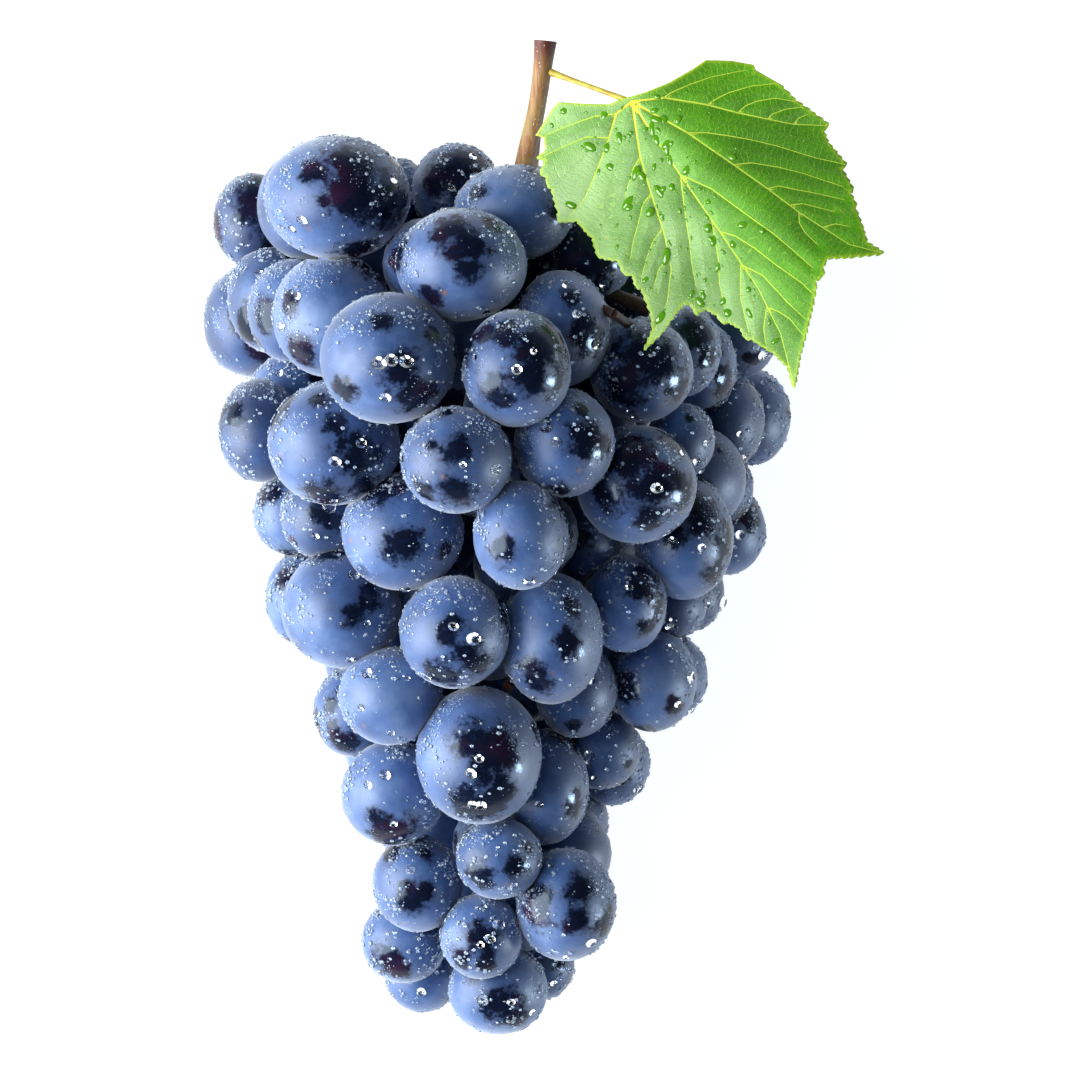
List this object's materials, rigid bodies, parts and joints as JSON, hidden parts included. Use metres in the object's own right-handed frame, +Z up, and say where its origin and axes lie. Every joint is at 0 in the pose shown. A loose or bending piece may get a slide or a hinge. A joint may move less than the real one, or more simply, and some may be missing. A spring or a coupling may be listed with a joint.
{
  "type": "bunch of grapes",
  "caption": "Bunch of blue-black table grapes lying on its back, with its cut stalk and one toothed green vine leaf.",
  "frame": {"origin": "middle of the footprint, on the surface the bunch lies on", "axes": "+Z up from the surface, +Y towards the cut end of the stalk, +X towards the leaf's side as the bunch is seen from above"},
  "size_m": [0.136, 0.1992, 0.0916],
  "materials": {
    "berry_skin": "thin dark skin under a pale blue waxy bloom, rubbed to a gloss in patches, with beads of water",
    "stalk": "green-brown bark with lengthwise streaks and small pale pores, darker at the cut end",
    "leaf_stalk": "smooth yellow-green",
    "leaf": "satin green blade with raised yellow veins, a net of fine veins and drops of water"
  },
  "bodies": {
    "root": {"berries": "berry_skin", "stalk": "stalk", "leaf_petiole": "leaf_stalk", "leaf_blade": "leaf"}
  },
  "joints": []
}
